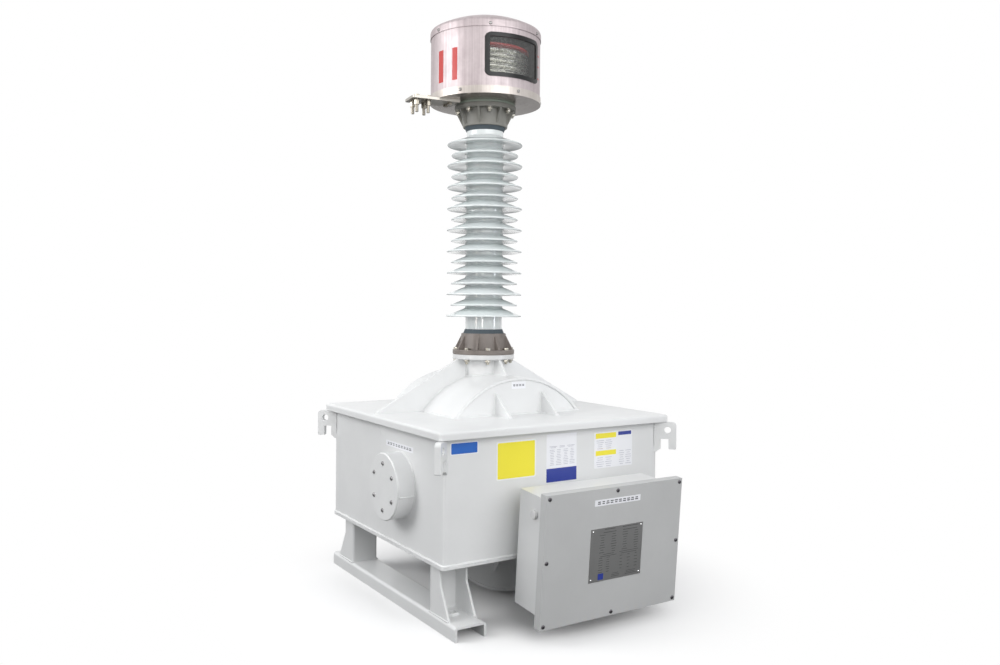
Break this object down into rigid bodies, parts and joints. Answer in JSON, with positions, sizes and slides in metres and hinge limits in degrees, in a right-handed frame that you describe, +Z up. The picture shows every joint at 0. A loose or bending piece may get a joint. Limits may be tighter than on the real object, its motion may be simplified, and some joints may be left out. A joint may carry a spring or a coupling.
{
  "type": "station service voltage transformer",
  "caption": "Oil-filled high-voltage transformer: square steel tank on skids with terminal box and domed cover, ribbed porcelain insulator, and aluminium expansion head with line terminal.",
  "frame": {"origin": "centre of the footprint at floor level: midway between the terminal box's face and the back lugs, in the middle of the tank's width, at the underside of the skids", "axes": "+X to the right along the tank's front, +Y to the back, so the front with the terminal box faces -Y, and +Z up along the insulator"},
  "size_m": [1.0176, 1.2025, 2.1475],
  "materials": {
    "tank_paint": "satin grey-white paint",
    "white_paint": "gloss white paint",
    "casting_grey": "grey painted casting",
    "casting_brown": "brown-grey painted casting",
    "porcelain_glaze": "glossy pale grey glaze",
    "cement": "matt grey cement",
    "head_aluminium": "brushed sheet",
    "adaptor_paint": "grey-green paint",
    "bolt_steel": "galvanised",
    "screw_steel": "plain steel",
    "gasket_rubber": "matt black",
    "cork_rubber": "matt brown",
    "window_glass": "clear",
    "bellows_steel": "bright sheet",
    "indicator_red": "red paint",
    "nameplate_metal": "dark printed plate",
    "terminal_board_resin": "moulded resin",
    "terminal_brass": "machined",
    "core_steel": "stacked sheet edges",
    "frame_steel": "dark primer",
    "copper_foil": "paper-covered copper",
    "pressboard": "oiled pressboard",
    "paper_winding": "paper-covered wire",
    "lead_paper": "paper-wrapped copper"
  },
  "bodies": {
    "root": {"skid_left": "tank_paint", "skid_right": "tank_paint", "pedestals": "tank_paint", "anchor_washers": "tank_paint", "base_plate": "tank_paint", "tank_walls": "tank_paint", "tank_cover": "tank_paint", "lug_front_left": "tank_paint", "lug_front_right": "tank_paint", "lug_back_left": "tank_paint", "lug_back_right": "tank_paint", "dome_shell": "tank_paint", "dome_end_plates": "tank_paint", "dome_gussets": "tank_paint", "belly_shell": "tank_paint", "belly_end_plates": "tank_paint", "belly_gussets": "tank_paint", "neck_tube": "tank_paint", "neck_flange": "white_paint", "neck_webs": "tank_paint", "neck_gussets": "tank_paint", "relief_duct": "tank_paint", "relief_cover": "white_paint", "relief_screws": "screw_steel", "box_throat": "tank_paint", "box_body": "tank_paint", "box_gasket": "gasket_rubber", "box_cover": "tank_paint", "box_screws": "screw_steel", "nameplate": "nameplate_metal", "nameplate_rivets": "screw_steel", "box_plug": "tank_paint", "terminal_board": "terminal_board_resin", "terminal_studs": "terminal_brass", "porcelain": "porcelain_glaze", "porcelain_gaskets": "cork_rubber", "cement_collars": "cement", "lower_fitting": "casting_brown", "upper_fitting": "casting_grey", "lower_bolts": "bolt_steel", "upper_bolts": "bolt_steel", "head_adaptor": "adaptor_paint", "head_pan": "head_aluminium", "head_shell": "head_aluminium", "head_lid": "head_aluminium", "head_screws": "bolt_steel", "window_gasket": "gasket_rubber", "window_glass": "window_glass", "bellows": "bellows_steel", "bellows_disc": "indicator_red", "terminal_pad": "head_aluminium", "pad_bolts": "bolt_steel", "core": "core_steel", "core_feet": "frame_steel", "secondary_winding": "copper_foil", "winding_barrier": "pressboard", "primary_winding": "paper_winding", "line_lead": "lead_paper", "secondary_leads": "lead_paper"}
  },
  "joints": []
}
